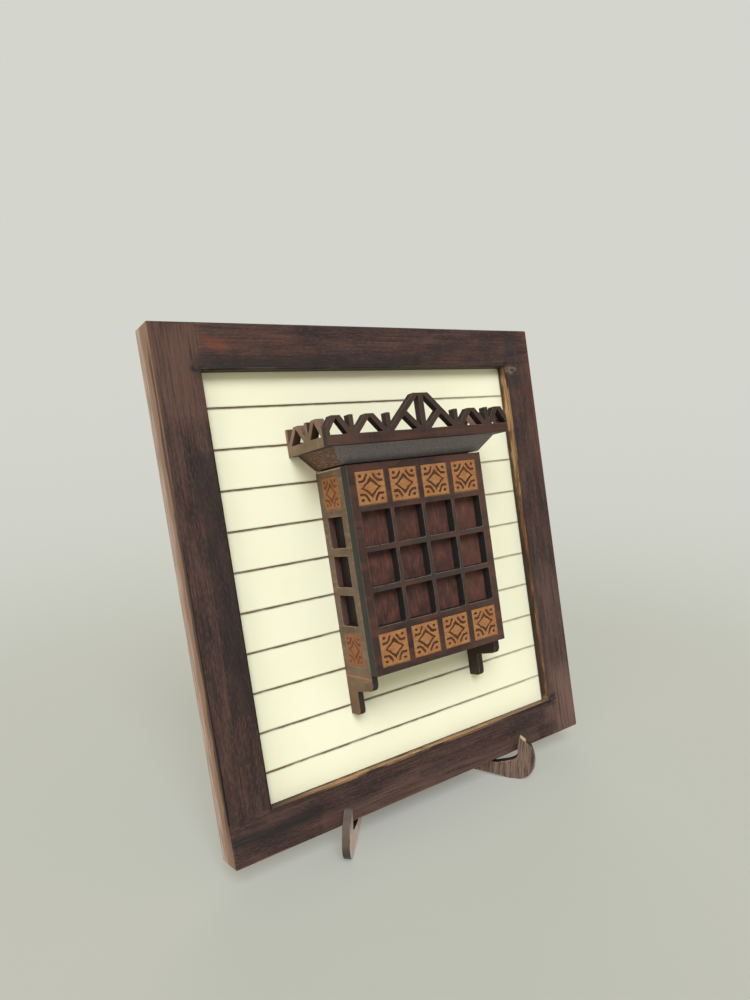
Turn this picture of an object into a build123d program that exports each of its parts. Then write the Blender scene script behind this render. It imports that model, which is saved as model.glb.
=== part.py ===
from build123d import *
import math
import os

# Desk plaque with a projecting lattice window box, leaning on a two-plate stand.
# Panel parts are drawn upright (X right, Y into the panel, Z up, front face of the frame at Y 0)
# and then leaned back onto the stand. All sizes are millimetres.

# Frame
frame_width = 200.0
frame_height = 216.3
frame_depth = 14.5
rail_width = 18.8
rebate_width = 5.0

# Boards held in the frame
board_recess = 6.0
board_thickness = 3.0
back_panel_thickness = 3.0
board_clearance = 0.2
plank_pitch = 16.83
plank_count = 11
plank_groove_width = 0.8
plank_groove_depth = 0.5
top_plank_height = 14.2

# Window box
box_centre_x = 1.5
box_width = 73.0
box_height = 89.0
box_below_top = 63.0
box_front = 20.5
lattice_thickness = 4.8
side_thickness = 3.0
backing_thickness = 2.5
backing_rise = 0.8
floor_thickness = 3.0

# Lattice openings and carved tiles
columns = 4
rows = 3
opening_width = 14.9
opening_height = 14.6
opening_corner = 0.7
column_bar = 1.8
row_bar = 2.5
first_opening_rise = 20.3
tile_size = 14.1
tile_gap = 2.97
tile_depth = 1.2
tile_clearance = 0.05
tile_margin = 3.1
side_opening_width = 12.3
side_opening_height = 13.4
side_tile_width = 13.1

# Corbels at the feet of the side panels
corbel_arm_drop = 6.9
corbel_arm_slope = 1.8
corbel_leg_width = 7.8
corbel_leg_drop = 19.6
corbel_nose_radius = 3.0
corbel_toe_radius = 2.6
corbel_throat_radius = 1.5

# Flared cornice and openwork crest
soffit_rise = 7.6
soffit_right_overhang = 2.0
soffit_front_inset = 3.2
cornice_half_width = 48.1
cornice_front = 29.3
crest_thickness = 3.7
crest_lap = 0.8
band_height = 4.2
crest_rise = 11.8
gable_rise = 19.4
crest_bar = 2.4
crest_post = 2.1
gable_post = 2.6
brace_spring = 2.1
peak_half_flat = 2.1
peak_slope = 48.0
corner_peak_slope = 55.0
gable_half_flat = 4.0
gable_slope = 45.0
corner_peak_from_end = 5.0
outer_post_from_end = 12.0
peak_from_end = 20.9
inner_post_from_end = 30.0
return_shift = 0.8
roof_thickness = 2.5

# Stand: two slotted plates that cross behind the frame
lean = 13.8
stand_thickness = 3.5
plate_angle = 48.5
plate_toe_x = 54.65
stand_offset = 0.85
plate_toe_y = 7.9
front_edge_height = 13.0
hook_height = 23.6
hook_reach = 6.4
foot_back = 114.0
toe_sole = 5.0
tail_sole = 10.0
foot_arch = 4.6
seat_pad_length = 7.5
seat_dip = 8.8
rest_height = 92.0
rest_tip_width = 9.0
tail_height = 9.0
slot_clearance = 0.15
seat_clearance = 0.02
hook_root_reach = 1.2
toe_heel_inset = 1.0
hook_tip_width = 0.9
hook_tip_drop = 3.0
hook_inner_drop = 9.6
toe_curve = [(-0.4, 3.2), (-2.7, 11.0), (-0.9, 18.0)]
seat_dip_x = 15.0
hook_root_height = 11.6
rest_tip_rise = 3.6
back_curve_rise = 0.62
back_curve_reach = 12.0
tail_bulge = 5.0
tail_heel = (4.5, 2.6)

board_front = board_recess
board_back = board_recess + board_thickness
opening_left = -frame_width / 2 + rail_width
opening_right = frame_width / 2 - rail_width
opening_bottom = rail_width
opening_top = frame_height - rail_width
box_top = frame_height - box_below_top
box_bottom = box_top - box_height
box_left = box_centre_x - box_width / 2
box_right = box_centre_x + box_width / 2
lattice_back = -box_front + lattice_thickness
side_centre_y = (lattice_back + board_front) / 2
cornice_bottom = box_top + backing_rise
crest_bottom = cornice_bottom + soffit_rise - crest_lap
roof_bottom = cornice_bottom + soffit_rise
lean_rad = math.radians(lean)


def block(x0, x1, y0, y1, z0, z1):
    return Pos((x0 + x1) / 2, (y0 + y1) / 2, (z0 + z1) / 2) * Box(x1 - x0, y1 - y0, z1 - z0)


def upright(sketch, front, thickness):
    # A sketch drawn in X and Z, given thickness from its front face into the panel.
    return Pos(0, front, 0) * extrude(Plane.XZ * sketch, thickness, dir=(0, 1, 0))


def sideways(sketch, left, thickness):
    # A sketch drawn in Y and Z, given thickness to the right of its left face.
    return Pos(left, 0, 0) * extrude(Plane.YZ * sketch, thickness, dir=(1, 0, 0))


def bar(x0, z0, x1, z1, width):
    length = math.hypot(x1 - x0, z1 - z0)
    angle = math.degrees(math.atan2(z1 - z0, x1 - x0))
    return Pos((x0 + x1) / 2, (z0 + z1) / 2) * Rot(0, 0, angle) * Rectangle(length, width)


# Frame of four rails that lap round in a pinwheel
def frame_rails():
    half = frame_width / 2
    ring = block(-half, half, 0, frame_depth, 0, frame_height)
    ring -= block(opening_left, opening_right, -1, frame_depth + 1, opening_bottom, opening_top)
    ring -= block(
        opening_left - rebate_width,
        opening_right + rebate_width,
        board_front,
        frame_depth + 1,
        opening_bottom - rebate_width,
        opening_top + rebate_width,
    )
    reach = frame_depth + 2
    zones = {
        "frame_left_stile": (-half, opening_left, opening_bottom, frame_height),
        "frame_top_rail": (opening_left, half, opening_top, frame_height),
        "frame_right_stile": (opening_right, half, 0, opening_top),
        "frame_bottom_rail": (-half, opening_right, 0, opening_bottom),
    }
    return {name: ring & block(x0, x1, -1, reach, z0, z1) for name, (x0, x1, z0, z1) in zones.items()}


def groove_heights():
    first = opening_top - top_plank_height
    return [first - i * plank_pitch for i in range(plank_count - 1)]


# Ivory board scored into planks
def plank_board():
    inset = rebate_width - board_clearance
    board = block(
        opening_left - inset,
        opening_right + inset,
        board_front,
        board_back,
        opening_bottom - inset,
        opening_top + inset,
    )
    cut = plank_groove_width / 2
    for z in groove_heights():
        board -= block(
            opening_left,
            opening_right,
            board_front - 1,
            board_front + plank_groove_depth,
            z - cut,
            z + cut,
        )
    return board


def back_panel():
    inset = rebate_width - board_clearance
    return block(
        opening_left - inset,
        opening_right + inset,
        board_back,
        board_back + back_panel_thickness,
        opening_bottom - inset,
        opening_top + inset,
    )


def opening_row_centres():
    first = box_bottom + first_opening_rise + opening_height / 2
    return [first + i * (opening_height + row_bar) for i in range(rows)]


def tile_row_centres():
    return [box_bottom + tile_margin + tile_size / 2, box_top - tile_margin - tile_size / 2]


def column_centres(pitch):
    return [box_centre_x + (i - (columns - 1) / 2) * pitch for i in range(columns)]


# Front lattice: rows of square openings between two rows of tile pockets
def front_lattice():
    plate = Pos(box_centre_x, box_bottom + box_height / 2) * Rectangle(box_width, box_height)
    hole = RectangleRounded(opening_width, opening_height, opening_corner)
    for x in column_centres(opening_width + column_bar):
        for z in opening_row_centres():
            plate -= Pos(x, z) * hole
    lattice = upright(plate, -box_front, lattice_thickness)
    pocket = tile_size + 2 * tile_clearance
    for x in column_centres(tile_size + tile_gap):
        for z in tile_row_centres():
            lattice -= Pos(x, -box_front + tile_depth / 2, z) * Box(pocket, tile_depth, pocket)
    return lattice


def front_tiles(z):
    tile = Box(tile_size, tile_depth, tile_size)
    y = -box_front + tile_depth / 2
    return Compound([Pos(x, y, z) * tile for x in column_centres(tile_size + tile_gap)])


# Side panel outline with its corbel, in Y and Z
def side_outline():
    front = lattice_back
    nose = box_bottom - corbel_arm_drop
    toe = box_bottom - corbel_leg_drop
    leg = board_front - corbel_leg_width
    outline = Polygon(
        (front, box_top),
        (board_front, box_top),
        (board_front, toe),
        (leg, toe),
        (leg, nose - corbel_arm_slope),
        (front, nose),
        align=None,
    )
    nose_corner = outline.vertices().sort_by_distance((front, nose, 0))[0]
    outline = fillet(nose_corner, corbel_nose_radius)
    toe_corner = outline.vertices().sort_by_distance((leg, toe, 0))[0]
    outline = fillet(toe_corner, corbel_toe_radius)
    throat = outline.vertices().sort_by_distance((leg, nose - corbel_arm_slope, 0))[0]
    return fillet(throat, corbel_throat_radius)


def side_panel(left, pocket_left):
    outline = side_outline()
    hole = RectangleRounded(side_opening_width, side_opening_height, opening_corner)
    for z in opening_row_centres():
        outline -= Pos(side_centre_y, z) * hole
    panel = sideways(outline, left, side_thickness)
    width = side_tile_width + 2 * tile_clearance
    height = tile_size + 2 * tile_clearance
    for z in tile_row_centres():
        panel -= Pos(pocket_left + tile_depth / 2, side_centre_y, z) * Box(tile_depth, width, height)
    return panel


def side_tiles(pocket_left):
    tile = Box(tile_depth, side_tile_width, tile_size)
    x = pocket_left + tile_depth / 2
    return Compound([Pos(x, side_centre_y, z) * tile for z in tile_row_centres()])


# Solid-coloured panels that close the openings from behind
def front_backing():
    return block(
        box_left + side_thickness,
        box_right - side_thickness,
        lattice_back,
        lattice_back + backing_thickness,
        box_bottom,
        cornice_bottom,
    )


def side_backing(left):
    return block(
        left,
        left + backing_thickness,
        lattice_back + backing_thickness,
        board_front,
        box_bottom + floor_thickness,
        cornice_bottom,
    )


def box_floor():
    return block(
        box_left + side_thickness,
        box_right - side_thickness,
        lattice_back + backing_thickness,
        board_front,
        box_bottom,
        box_bottom + floor_thickness,
    )


def prism(front_face, back_face):
    # A solid between two four-cornered faces whose corners match in order.
    faces = [Face(Wire.make_polygon(front_face)), Face(Wire.make_polygon(back_face))]
    for i in range(4):
        j = (i + 1) % 4
        faces.append(Face(Wire.make_polygon([front_face[i], front_face[j], back_face[j], back_face[i]])))
    return Solid(Shell(faces))


# Flared soffit under the crest: a front panel mitred to two side panels
def soffit_panels():
    low, high = cornice_bottom, roof_bottom
    top_left = box_centre_x - cornice_half_width + crest_thickness
    top_right = box_centre_x + cornice_half_width - crest_thickness
    top_front = -cornice_front + crest_thickness
    side = side_thickness + backing_thickness + soffit_right_overhang
    front = lattice_thickness + backing_thickness - soffit_front_inset
    foot_right = box_right + soffit_right_overhang
    foot_front = -box_front + soffit_front_inset
    outer = [(box_left, foot_front, low), (foot_right, foot_front, low)]
    outer += [(top_right, top_front, high), (top_left, top_front, high)]
    inner = [(box_left + side, foot_front + front, low), (foot_right - side, foot_front + front, low)]
    inner += [(top_right - side, top_front + front, high), (top_left + side, top_front + front, high)]
    wall = board_front
    left_outer = [(box_left, wall, low), outer[0], outer[3], (top_left, wall, high)]
    left_inner = [(box_left + side, wall, low), inner[0], inner[3], (top_left + side, wall, high)]
    right_outer = [outer[1], (foot_right, wall, low), (top_right, wall, high), outer[2]]
    right_inner = [inner[1], (foot_right - side, wall, low), (top_right - side, wall, high), inner[2]]
    return {
        "soffit_front": prism(outer, inner),
        "soffit_left": prism(left_outer, left_inner),
        "soffit_right": prism(right_outer, right_inner),
    }


def cornice_roof():
    return block(
        box_centre_x - cornice_half_width + crest_thickness,
        box_centre_x + cornice_half_width - crest_thickness,
        -cornice_front + crest_thickness,
        board_front,
        roof_bottom,
        roof_bottom + roof_thickness,
    )


def peak(x, flat, slope, top, foot):
    # Two bars leaning together, cut flat across the top.
    angle = math.radians(slope)
    apex = top + flat * math.tan(angle) - crest_bar / 2 / math.cos(angle)
    run = (apex - foot) / math.tan(angle)
    legs = bar(x, apex, x - run, foot, crest_bar) + bar(x, apex, x + run, foot, crest_bar)
    legs += Pos(x, top - crest_bar / 4) * Rectangle(2 * flat, crest_bar / 2)
    return legs


def crest_run(start, end, posts, peaks, corner_peaks, gables):
    band_top = crest_bottom + band_height
    top = crest_bottom + crest_rise
    foot = band_top - crest_bar / 2
    shape = Pos((start + end) / 2, crest_bottom + band_height / 2) * Rectangle(end - start, band_height)
    for x in peaks:
        shape += peak(x, peak_half_flat, peak_slope, top, foot)
    for x in corner_peaks:
        shape += peak(x, peak_half_flat, corner_peak_slope, top, foot)
    for x in posts:
        shape += Pos(x, (foot + top) / 2) * Rectangle(crest_post, top - foot)
    sky = Pos((start + end) / 2, (crest_bottom + top) / 2) * Rectangle(end - start, top - crest_bottom)
    shape = shape & sky
    for x in gables:
        shape += gable(x, band_top, foot)
    return shape


def gable(x, band_top, foot):
    ridge = crest_bottom + gable_rise
    angle = math.radians(gable_slope)
    apex = ridge + gable_half_flat * math.tan(angle) - crest_bar / 2 / math.cos(angle)
    half_span = (apex - band_top) / math.tan(angle)
    out = (half_span + brace_spring) / 2
    meet = apex - out * math.tan(angle)
    root = brace_spring - (band_top - foot) / math.tan(angle)
    truss = peak(x, gable_half_flat, gable_slope, ridge, foot)
    truss += Pos(x, (foot + ridge) / 2) * Rectangle(gable_post, ridge - foot)
    for hand in (-1, 1):
        truss += bar(x + hand * root, foot, x + hand * out, meet, crest_bar)
    field = Pos(x, (foot + ridge) / 2) * Rectangle(2 * cornice_half_width, ridge - foot)
    return truss & field


# Openwork crest: a front run between two returns
def crest_front():
    start = box_centre_x - cornice_half_width
    end = box_centre_x + cornice_half_width
    posts = [start + outer_post_from_end, start + inner_post_from_end]
    posts += [end - inner_post_from_end, end - outer_post_from_end]
    peaks = [start + peak_from_end, end - peak_from_end]
    corner_peaks = [start + corner_peak_from_end, end - corner_peak_from_end]
    run = crest_run(start, end, posts, peaks, corner_peaks, [box_centre_x])
    return upright(run, -cornice_front, crest_thickness)


def crest_return(left):
    start = -cornice_front + crest_thickness
    first = start + return_shift
    posts = [first + outer_post_from_end, first + inner_post_from_end]
    run = crest_run(start, board_front, posts, [first + peak_from_end], [first + corner_peak_from_end], [])
    return sideways(run, left, crest_thickness)


# Stand plates. Their outline runs along the plate from its toe (X) and up from the ground (Y).
def along(y):
    return (y + plate_toe_y) / math.sin(math.radians(plate_angle))


def stand_outline():
    skew = stand_thickness / 2 * math.cos(math.radians(plate_angle)) + seat_clearance
    slope = math.tan(lean_rad)
    heel_y = frame_depth * math.cos(lean_rad)
    heel_z = front_edge_height - frame_depth * math.sin(lean_rad)
    heel = along(heel_y + skew)
    pad_start = heel - seat_pad_length
    pad_start_y = pad_start * math.sin(math.radians(plate_angle)) - plate_toe_y
    pad_z = front_edge_height - slope * (pad_start_y + skew) - seat_clearance
    pad_end_z = front_edge_height - slope * (heel_y + 2 * skew) - seat_clearance
    rest_y = heel_y + (rest_height - heel_z) * slope
    rest = along(rest_y + skew)
    hook_root = hook_reach + hook_root_reach
    toe_heel = hook_reach - toe_heel_inset
    with BuildSketch() as sketch:
        with BuildLine():
            tail_rest = Line((foot_back, 0), (foot_back - tail_sole, 0))
            toe_rest = Line((toe_heel + toe_sole, 0), (toe_heel, 0))
            arch_x = (foot_back - tail_sole + toe_heel + toe_sole) / 2
            ThreePointArc(tail_rest @ 1, (arch_x, foot_arch), toe_rest @ 0)
            nose = Spline(
                (toe_heel, 0),
                *toe_curve,
                (hook_reach - hook_tip_width, hook_height),
                tangents=((-1, 0.12), (1, 0.75)),
            )
            inner = Line(nose @ 1, (hook_reach, hook_height - hook_tip_drop))
            drop = Line(inner @ 1, (hook_reach, hook_height - hook_inner_drop))
            dip = Spline(
                drop @ 1,
                (hook_root, hook_root_height),
                (seat_dip_x, seat_dip),
                (pad_start, pad_z),
                tangents=((0, -1), (1, 0.5)),
            )
            pad = Line(dip @ 1, (heel, pad_end_z))
            upright_edge = Line(pad @ 1, (rest, rest_height))
            tip = ThreePointArc(
                upright_edge @ 1,
                (rest + rest_tip_width / 2, rest_height + rest_tip_rise),
                (rest + rest_tip_width, rest_height),
            )
            tail = Spline(
                tip @ 1,
                (rest + rest_tip_width + back_curve_reach, rest_height * back_curve_rise),
                (foot_back - back_curve_reach, tail_height + back_curve_reach),
                (foot_back + tail_bulge, tail_height),
                tangents=((0.12, -1), (0.6, -1)),
            )
            heel_point = (foot_back + tail_heel[0], tail_heel[1])
            Spline(tail @ 1, heel_point, (foot_back, 0), tangents=((0.1, -1), (-1, -0.1)))
        make_face()
    return sketch.sketch


def stand_plate(hand):
    # hand 1: toe in front on the right, slot open at the top. hand -1: the mirror, slot open below.
    angle = math.radians(plate_angle)
    crossing = plate_toe_x / math.cos(angle)
    cross_angle = math.radians(2 * plate_angle)
    slot = stand_thickness / math.sin(cross_angle) + stand_thickness / abs(math.tan(cross_angle))
    slot += 2 * slot_clearance
    plate = upright(stand_outline(), -stand_thickness / 2, stand_thickness)
    middle = (plate & block(crossing - 0.1, crossing + 0.1, -5, 5, -1, 200)).bounding_box()
    half = (middle.min.Z + middle.max.Z) / 2
    if hand > 0:
        plate -= block(crossing - slot / 2, crossing + slot / 2, -5, 5, half, 200)
    else:
        plate -= block(crossing - slot / 2, crossing + slot / 2, -5, 5, -20, half)
    turn = 180 - plate_angle if hand > 0 else plate_angle
    return Pos(stand_offset + hand * plate_toe_x, -plate_toe_y, 0) * Rot(0, 0, turn) * plate


def panel_parts():
    parts = frame_rails()
    parts["plank_board"] = plank_board()
    parts["back_panel"] = back_panel()
    parts["lattice_front"] = front_lattice()
    low, high = tile_row_centres()
    parts["front_tiles_lower"] = front_tiles(low)
    parts["front_tiles_upper"] = front_tiles(high)
    parts["side_panel_left"] = side_panel(box_left, box_left)
    parts["side_panel_right"] = side_panel(box_right - side_thickness, box_right - tile_depth)
    parts["side_tiles_left"] = side_tiles(box_left)
    parts["side_tiles_right"] = side_tiles(box_right - tile_depth)
    parts["backing_front"] = front_backing()
    parts["backing_left"] = side_backing(box_left + side_thickness)
    parts["backing_right"] = side_backing(box_right - side_thickness - backing_thickness)
    parts["box_floor"] = box_floor()
    parts.update(soffit_panels())
    parts["cornice_roof"] = cornice_roof()
    parts["crest_front"] = crest_front()
    parts["crest_left"] = crest_return(box_centre_x - cornice_half_width)
    parts["crest_right"] = crest_return(box_centre_x + cornice_half_width - crest_thickness)
    return parts


def assemble():
    leaned = Pos(0, 0, front_edge_height) * Rot(-lean, 0, 0)
    parts = {name: leaned * shape for name, shape in panel_parts().items()}
    parts["stand_plate_right"] = stand_plate(1)
    parts["stand_plate_left"] = stand_plate(-1)
    boxes = [shape.bounding_box() for shape in parts.values()]
    middle_y = (min(b.min.Y for b in boxes) + max(b.max.Y for b in boxes)) / 2
    lowest = min(b.min.Z for b in boxes)
    return {name: Pos(0, -middle_y, -lowest) * shape for name, shape in parts.items()}


os.makedirs("parts", exist_ok=True)
for node, shape in assemble().items():
    solids = shape.solids()
    export_step(solids[0] if len(solids) == 1 else Compound(solids), f"parts/{node}.step")
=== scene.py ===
import math

import bmesh
import bpy
import numpy as np
from mathutils import Matrix, Vector


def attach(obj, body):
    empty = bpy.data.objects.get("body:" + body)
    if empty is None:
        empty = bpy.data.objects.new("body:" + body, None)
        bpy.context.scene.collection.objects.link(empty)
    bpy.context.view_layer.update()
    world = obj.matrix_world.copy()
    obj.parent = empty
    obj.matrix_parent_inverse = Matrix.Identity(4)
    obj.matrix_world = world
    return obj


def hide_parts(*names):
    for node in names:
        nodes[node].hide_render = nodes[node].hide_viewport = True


# A framed desk plaque with a small lattice window box, leaning on a slotted stand.
# Panel coordinates are millimetres on the leaned plaque: u to the right, v into the panel, w up.
# Plain numbers in a finish are millimetres, levels and amounts from 0 to 1, or the seed of a noise.

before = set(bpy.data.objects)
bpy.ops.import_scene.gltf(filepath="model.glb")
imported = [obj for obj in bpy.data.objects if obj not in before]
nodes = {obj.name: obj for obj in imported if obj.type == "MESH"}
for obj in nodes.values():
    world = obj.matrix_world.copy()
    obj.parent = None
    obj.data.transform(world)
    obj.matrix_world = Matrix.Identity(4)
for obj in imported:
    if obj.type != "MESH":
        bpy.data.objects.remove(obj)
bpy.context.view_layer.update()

mm = 0.001
lean = math.radians(13.8)

# The photograph's camera: its place in metres, its direction, and pixels of a 750 by 1000 picture
camera_place = Vector((-0.18897, -0.27345, 0.20995))
camera_aim = Vector((0.5761, 0.7751, -0.2596))
image_width = 750
image_height = 1000
focal_pixels = 725.2
centre_pixels = (414.4, 551.2)
sensor_mm = 36.0
nearest_seen = 0.01


def front_bottom_edge():
    corners = [corner.co for corner in nodes["frame_bottom_rail"].data.vertices]
    return min(corners, key=lambda corner: corner.y)


edge_place = front_bottom_edge()
panel = Matrix.Translation((0, edge_place.y, edge_place.z)) @ Matrix.Rotation(-lean, 4, "X")
panel_inverse = panel.inverted()


def panel_box(node):
    # Lowest and highest u, v, w of a node, in millimetres.
    places = [panel_inverse @ corner.co / mm for corner in nodes[node].data.vertices]
    low = Vector([min(place[i] for place in places) for i in range(3)])
    high = Vector([max(place[i] for place in places) for i in range(3)])
    return low, high


# Places that the finishes need, read from the nodes

frame_low, frame_high = panel_box("frame_left_stile")
frame_half = -frame_low.x
frame_top = frame_high.z
rail_width = frame_high.x - frame_low.x
opening_half = frame_half - rail_width
opening_top = frame_top - rail_width
opening_middle = (opening_top + rail_width) / 2
board_front = panel_box("plank_board")[0].y
lattice_low, lattice_high = panel_box("lattice_front")
side_low, side_high = panel_box("side_panel_left")
side_right_end = panel_box("side_panel_right")[1].x
crest_foot = panel_box("crest_front")[0].z

# Height of the joint between a side panel and its corbel
corbel_top = 62.5

# How far each plate of the stand is turned about the upright, in degrees
stand_angle = 48.5


def hook_tip(node):
    # Height above the ground of the tip of the hook in front of the plaque.
    corners = [corner.co for corner in nodes[node].data.vertices]
    return max(corner.z for corner in corners if (panel_inverse @ corner).y < 0) / mm


tip_height = hook_tip("stand_plate_right")

# Depths behind the board's face between which the floor of a groove lies
groove_shallow = 0.1
groove_deep = 1.0


def groove_places():
    # Heights of the scored lines, read from the floors of the grooves.
    floor_heights = set()
    for corner in nodes["plank_board"].data.vertices:
        place = panel_inverse @ corner.co / mm
        if board_front + groove_shallow < place.y < board_front + groove_deep:
            floor_heights.add(round(place.z, 2))
    heights = sorted(floor_heights)
    return [(low + high) / 2 for low, high in zip(heights[::2], heights[1::2])]


grooves = groove_places()
groove_first = grooves[0]
groove_pitch = (grooves[-1] - grooves[0]) / (len(grooves) - 1)


def colour(red, green, blue):
    # An ordinary 0 to 255 screen colour as the linear colour that sockets take.
    def linear(value):
        value /= 255
        return value / 12.92 if value <= 0.04045 else ((value + 0.055) / 1.055) ** 2.4

    return (linear(red), linear(green), linear(blue), 1.0)


def shifted(base, red, green, blue):
    # A screen colour moved by some steps of each channel, as a linear colour.
    return colour(base[0] + red, base[1] + green, base[2] + blue)


class Finish:
    """One procedural material, put together in small steps from panel millimetres."""

    def __init__(self, name, roughness=0.6, specular=0.5):
        self.material = bpy.data.materials.new(name)
        self.material.use_nodes = True
        self.tree = self.material.node_tree
        self.shader = self.tree.nodes["Principled BSDF"]
        self.shader.inputs["Roughness"].default_value = roughness
        self.shader.inputs["Specular IOR Level"].default_value = specular
        self.place = self.panel_place()
        self.u, self.v, self.w = self.split(self.place)
        self.across, self.inward, self.upward = self.split(self.panel_normal())

    def add(self, kind, **settings):
        node = self.tree.nodes.new(kind)
        for name, value in settings.items():
            setattr(node, name, value)
        return node

    def feed(self, socket, value):
        if isinstance(value, bpy.types.NodeSocket):
            self.tree.links.new(value, socket)
        else:
            socket.default_value = value

    def split(self, vector):
        node = self.add("ShaderNodeSeparateXYZ")
        self.feed(node.inputs[0], vector)
        return node.outputs[0], node.outputs[1], node.outputs[2]

    def panel_place(self):
        source = self.add("ShaderNodeTexCoord").outputs["Object"]
        node = self.add("ShaderNodeMapping", vector_type="POINT")
        self.feed(node.inputs["Vector"], source)
        node.inputs["Scale"].default_value = (1 / mm, 1 / mm, 1 / mm)
        node.inputs["Rotation"].default_value = (lean, 0, 0)
        node.inputs["Location"].default_value = panel_inverse.translation / mm
        return node.outputs[0]

    def panel_normal(self):
        node = self.add("ShaderNodeMapping", vector_type="VECTOR")
        self.feed(node.inputs["Vector"], self.add("ShaderNodeNewGeometry").outputs["True Normal"])
        node.inputs["Rotation"].default_value = (lean, 0, 0)
        return node.outputs[0]

    def math(self, operation, first, second=0.0, third=0.0):
        node = self.add("ShaderNodeMath", operation=operation)
        for socket, value in zip(node.inputs, (first, second, third)):
            self.feed(socket, value)
        return node.outputs[0]

    def absolute(self, value):
        return self.math("ABSOLUTE", value)

    def step(self, value, low, high):
        # Rises smoothly from 0 at low to 1 at high, or falls when high is the lower.
        node = self.add("ShaderNodeMapRange", interpolation_type="SMOOTHSTEP")
        self.feed(node.inputs["Value"], value)
        if low < high:
            ends = (low, high, 0.0, 1.0)
        else:
            ends = (high, low, 1.0, 0.0)
        for name, end in zip(("From Min", "From Max", "To Min", "To Max"), ends):
            node.inputs[name].default_value = end
        return node.outputs["Result"]

    def band(self, value, low, high, soft):
        rise = self.step(value, low - soft, low + soft)
        fall = self.step(value, high + soft, high - soft)
        return self.math("MULTIPLY", rise, fall)

    def both(self, *masks):
        result = masks[0]
        for mask in masks[1:]:
            result = self.math("MULTIPLY", result, mask)
        return result

    def either(self, *masks):
        result = masks[0]
        for mask in masks[1:]:
            result = self.math("MAXIMUM", result, mask)
        return result

    def noise(self, size, seed, detail=3.0, place=None):
        # size is how long the features are along each axis, in millimetres.
        node = self.add("ShaderNodeVectorMath", operation="DIVIDE")
        self.feed(node.inputs[0], self.place if place is None else place)
        node.inputs[1].default_value = size if hasattr(size, "__len__") else (size, size, size)
        texture = self.add("ShaderNodeTexNoise", noise_dimensions="4D")
        self.feed(texture.inputs["Vector"], node.outputs[0])
        texture.inputs["W"].default_value = seed
        texture.inputs["Scale"].default_value = 1.0
        texture.inputs["Detail"].default_value = detail
        texture.inputs["Roughness"].default_value = 0.55
        return texture.outputs[0]

    def sway(self, noise, reach):
        # Noise from 0 to 1 as a shift to either side, reach being the whole range.
        return self.math("MULTIPLY", self.math("SUBTRACT", noise, 0.5), reach)

    def mix(self, factor, first, second):
        node = self.add("ShaderNodeMix", data_type="RGBA")
        self.feed(node.inputs[0], factor)
        self.feed(node.inputs[6], first)
        self.feed(node.inputs[7], second)
        return node.outputs[2]

    def ramp(self, factor, *stops):
        # stops are pairs of a place from 0 to 1 and a colour.
        node = self.add("ShaderNodeValToRGB")
        self.feed(node.inputs[0], factor)
        ramp = node.color_ramp
        while len(ramp.elements) < len(stops):
            ramp.elements.new(0.5)
        for element, (place, shade) in zip(ramp.elements, stops):
            element.position = place
            element.color = shade
        return node.outputs[0]

    def tint(self, shade, mask, amount, tone):
        return self.mix(self.math("MULTIPLY", mask, amount), shade, tone)

    def blend(self, first, second, share):
        first = self.math("MULTIPLY", first, 1 - share)
        return self.math("ADD", first, self.math("MULTIPLY", second, share))

    def between(self, share, first, second):
        return self.math("MULTIPLY_ADD", self.math("SUBTRACT", second, first), share, first)

    def zone(self, low_u, high_u, low_w, high_w, soft):
        # A patch on the face of the plaque with an uneven border, which differs from patch to patch.
        seed = 0.5 + low_u * 0.01 + low_w * 0.02
        stray = self.sway(self.noise(9.0, seed), soft * 1.5)
        across = self.band(self.math("ADD", self.u, stray), low_u, high_u, soft / 2)
        along = self.band(self.math("ADD", self.w, stray), low_w, high_w, soft / 2)
        return self.both(across, along)

    def patch(self, shade, patches, grain):
        # Patches are a zone's sizes, an amount and a screen colour. They show where the grain lets them.
        for sizes, amount, tone in patches:
            shade = self.tint(shade, self.both(self.zone(*sizes), grain), amount, colour(*tone))
        return shade

    def show(self, base, height=None, bump_mm=0.05, roughness=None):
        self.feed(self.shader.inputs["Base Color"], base)
        if roughness is not None:
            self.feed(self.shader.inputs["Roughness"], roughness)
        if height is not None:
            node = self.add("ShaderNodeBump")
            node.inputs["Strength"].default_value = 1.0
            node.inputs["Distance"].default_value = bump_mm * mm
            self.feed(node.inputs["Height"], height)
            self.feed(self.shader.inputs["Normal"], node.outputs[0])
        return self.material


# Face of the frame: dark brown stain, brushed along each rail and smeared over the joints

stain_deep = colour(40, 28, 26)
stain_middle = colour(62, 45, 41)
stain_light = colour(86, 62, 54)
stain_pooled = colour(32, 25, 24)
stain_red = colour(106, 62, 48)
fleck_pale = colour(98, 76, 68)
fleck_dark = colour(34, 26, 25)

# Low u, high u, low w, high w and softness of each patch of stain, its amount and its colour
frame_patches = [
    ((-102, -78, 176, 220, 14), 0.54, (108, 78, 66)),
    ((-79, -69, 205, 210, 5), 0.576, (130, 68, 48)),
    ((-70, -34, 206, 212, 7), 0.192, (118, 72, 56)),
    ((-84, 26, 195, 203, 5), 0.72, (34, 29, 28)),
    ((-91, -80, 60, 165, 5), 0.6, (36, 30, 29)),
    ((84, 104, -4, 34, 16), 0.66, (122, 94, 84)),
    ((80, 104, 20, 90, 16), 0.3, (114, 90, 82)),
    ((-60, 70, -2, 8, 4), 0.36, (106, 82, 72)),
    ((-104, -60, 8, 13, 4), 0.96, (36, 32, 33)),
    ((36, 78, 202, 209, 3), 0.48, (48, 35, 31)),
    ((83, 91, 186, 214, 6), 0.48, (40, 33, 35)),
    ((96, 106, 130, 216, 6), 0.36, (108, 62, 52)),
]

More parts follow.
